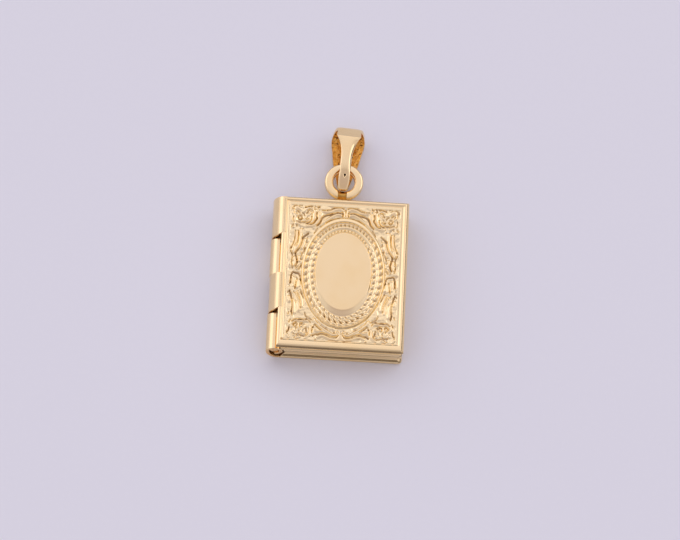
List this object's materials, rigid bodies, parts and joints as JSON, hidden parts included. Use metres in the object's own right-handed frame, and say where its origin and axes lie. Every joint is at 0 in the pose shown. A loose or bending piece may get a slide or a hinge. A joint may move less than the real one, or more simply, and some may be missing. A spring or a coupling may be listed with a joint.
{
  "type": "book locket pendant",
  "caption": "Book-shaped photo locket that opens on a rolled side hinge, with stamped scroll ornament round a plain oval, an eyelet, a ring and a tapered bail for a chain.",
  "frame": {"origin": "on the surface that the back cover lies on, under the middle of the whole piece, bail included", "axes": "+X from the hinge to the fore edge, +Y from the foot of the cover up to the bail, +Z out of the front cover"},
  "size_m": [0.0136, 0.0244, 0.0036],
  "materials": {
    "gold_back": "polished pale gold plating",
    "gold_front": "polished pale gold plating over stamped ornament",
    "gold_pin": "satin gold plating",
    "gold_ring": "polished pale gold plating",
    "gold_bail": "polished outside, rough as cast inside"
  },
  "bodies": {
    "back": {"back_cover": "gold_back", "hinge_pin": "gold_pin", "hanging_ring": "gold_ring", "bail": "gold_bail"},
    "front": {"front_cover": "gold_front"}
  },
  "joints": [
    {"name": "cover_hinge", "type": "hinge", "parent": "back", "child": "front", "pos_m": [-0.00598, -0.00418, 0.0018], "axis": [0, -1, 0], "range_deg": [0, 160]}
  ]
}
